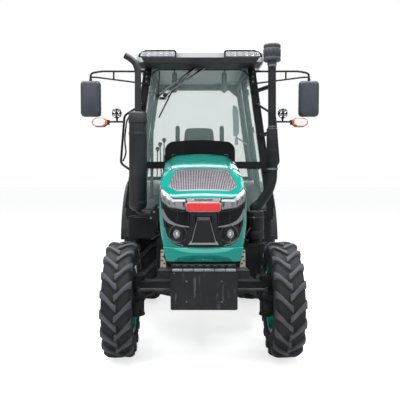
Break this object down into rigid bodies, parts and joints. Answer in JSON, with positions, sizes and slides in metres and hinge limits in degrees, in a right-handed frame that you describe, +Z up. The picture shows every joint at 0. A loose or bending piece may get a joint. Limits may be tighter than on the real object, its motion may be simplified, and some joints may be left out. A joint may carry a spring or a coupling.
{
  "type": "farm tractor",
  "caption": "Compact four-wheel-drive farm tractor with an enclosed cab, lifting bonnet, steered front axle, lugged tyres and a rear three-point linkage.",
  "frame": {"origin": "middle of the tractor's box, on the floor", "axes": "+Y towards the rear of the tractor, +X towards its left side, +Z up"},
  "size_m": [2.444, 3.752, 2.7579],
  "materials": {
    "teal_paint": "gloss",
    "black_paint": "satin",
    "white_paint": "gloss",
    "cast_grey": "rough",
    "tyre": "matt",
    "rubber": "matt",
    "steel": "bright",
    "chrome": "polished",
    "black_plastic": "matt",
    "grey_mesh": "satin",
    "red_plastic": "gloss",
    "lamp_lens": "clear",
    "cab_glass": "clear",
    "seat_cloth": "woven"
  },
  "bodies": {
    "chassis": {"front_axle": "cast_grey", "steering_cylinder": "black_paint", "front_frame": "black_paint", "weight_plate": "black_paint", "radiator": "black_paint", "engine": "cast_grey", "gearbox": "cast_grey", "rear_axle": "cast_grey", "drive_shaft": "black_paint", "cab_frame": "black_paint", "cab_floor": "black_paint", "fenders": "black_plastic", "windscreen": "cab_glass", "rear_glass": "cab_glass", "cab_roof": "white_paint", "roof_visor": "black_plastic", "roof_lamps": "lamp_lens", "cowl": "black_plastic", "exhaust": "black_paint", "fuel_tank": "black_plastic", "air_cleaner": "black_plastic", "intake_pipe": "black_plastic", "pre_cleaner": "black_plastic", "brackets": "black_paint", "battery_box": "black_paint", "steps": "black_paint", "side_rails": "black_paint", "mirror_heads": "black_plastic", "side_lamps": "lamp_lens", "seat_base": "black_plastic", "seat_cushions": "seat_cloth", "dash_column": "black_plastic", "rear_shafts": "steel", "drawbar": "black_paint"},
    "hood": {"hood": "teal_paint", "hood_mesh": "grey_mesh", "hood_fascia": "black_plastic", "front_lamps": "lamp_lens", "emblem_panel": "red_plastic", "grille_frame": "chrome"},
    "door_left": {"door_left": "black_paint", "door_glass_left": "cab_glass"},
    "door_right": {"door_right": "black_paint", "door_glass_right": "cab_glass"},
    "knuckle_left": {"knuckle_left": "cast_grey"},
    "knuckle_right": {"knuckle_right": "cast_grey"},
    "front_wheel_left": {"front_tyre_left": "tyre", "front_rim_left": "teal_paint"},
    "front_wheel_right": {"front_tyre_right": "tyre", "front_rim_right": "teal_paint"},
    "rear_wheel_left": {"rear_tyre_left": "tyre", "rear_rim_left": "teal_paint"},
    "rear_wheel_right": {"rear_tyre_right": "tyre", "rear_rim_right": "teal_paint"},
    "steering_rod": {"steering_rod": "steel"},
    "steering_wheel": {"steering_wheel": "black_plastic"},
    "lower_links": {"lower_links": "black_paint"},
    "lift_arms": {"lift_arms": "black_paint"},
    "lift_rods": {"lift_rods": "black_paint"}
  },
  "joints": [
    {"name": "front_wheel_left_spin", "type": "hinge", "parent": "knuckle_left", "child": "front_wheel_left", "pos_m": [0.665, -1.215, 0.4725], "axis": [1, 0, 0], "continuous": true},
    {"name": "rear_wheel_left_spin", "type": "hinge", "parent": "chassis", "child": "rear_wheel_left", "pos_m": [0.65, 0.835, 0.6825], "axis": [1, 0, 0], "continuous": true},
    {"name": "front_wheel_right_spin", "type": "hinge", "parent": "knuckle_right", "child": "front_wheel_right", "pos_m": [-0.665, -1.215, 0.4725], "axis": [1, 0, 0], "continuous": true},
    {"name": "rear_wheel_right_spin", "type": "hinge", "parent": "chassis", "child": "rear_wheel_right", "pos_m": [-0.65, 0.835, 0.6825], "axis": [1, 0, 0], "continuous": true},
    {"name": "steer_left", "type": "hinge", "parent": "chassis", "child": "knuckle_left", "pos_m": [0.545, -1.215, 0.5], "axis": [0, 0, 1], "range_deg": [-40, 40]},
    {"name": "steer_right", "type": "hinge", "parent": "chassis", "child": "knuckle_right", "pos_m": [-0.545, -1.215, 0.5], "axis": [0, 0, 1], "range_deg": [-40.1, 40.1]},
    {"name": "steering_slide", "type": "slide", "parent": "chassis", "child": "steering_rod", "axis": [1, 0, 0], "range_m": [-0.099, 0.099]},
    {"name": "steering_wheel_turn", "type": "hinge", "parent": "chassis", "child": "steering_wheel", "pos_m": [0, 0.215, 1.64], "axis": [0, 0.5299, 0.848], "continuous": true},
    {"name": "door_left_open", "type": "hinge", "parent": "chassis", "child": "door_left", "pos_m": [0.72129, 0.601, 1.50165], "axis": [-0.1377, 0, 0.9905], "range_deg": [0, 80]},
    {"name": "door_right_open", "type": "hinge", "parent": "chassis", "child": "door_right", "pos_m": [-0.72129, 0.601, 1.50165], "axis": [-0.1377, 0, -0.9905], "range_deg": [0, 80]},
    {"name": "hood_open", "type": "hinge", "parent": "chassis", "child": "hood", "pos_m": [0, -0.343, 1.7], "axis": [-1, 0, 0], "range_deg": [0, 48]},
    {"name": "lower_links_lift", "type": "hinge", "parent": "chassis", "child": "lower_links", "pos_m": [0, 0.875, 0.43], "axis": [1, 0, 0], "range_deg": [-10, 25]},
    {"name": "lift_arms_turn", "type": "hinge", "parent": "chassis", "child": "lift_arms", "pos_m": [0, 0.965, 0.84], "axis": [1, 0, 0], "range_deg": [-10.1, 25.1]},
    {"name": "lift_rods_swing", "type": "hinge", "parent": "lower_links", "child": "lift_rods", "pos_m": [0, 1.205, 0.43], "axis": [1, 0, 0], "range_deg": [-25.1, 10.1]}
  ],
  "couplings": [
    {"joint": "steer_right", "follows": "steer_left", "ratio": 1},
    {"joint": "steering_slide", "follows": "steer_left", "m_per_rad": 0.13811},
    {"joint": "lift_arms_turn", "follows": "lower_links_lift", "ratio": 1},
    {"joint": "lift_rods_swing", "follows": "lower_links_lift", "ratio": -1}
  ]
}
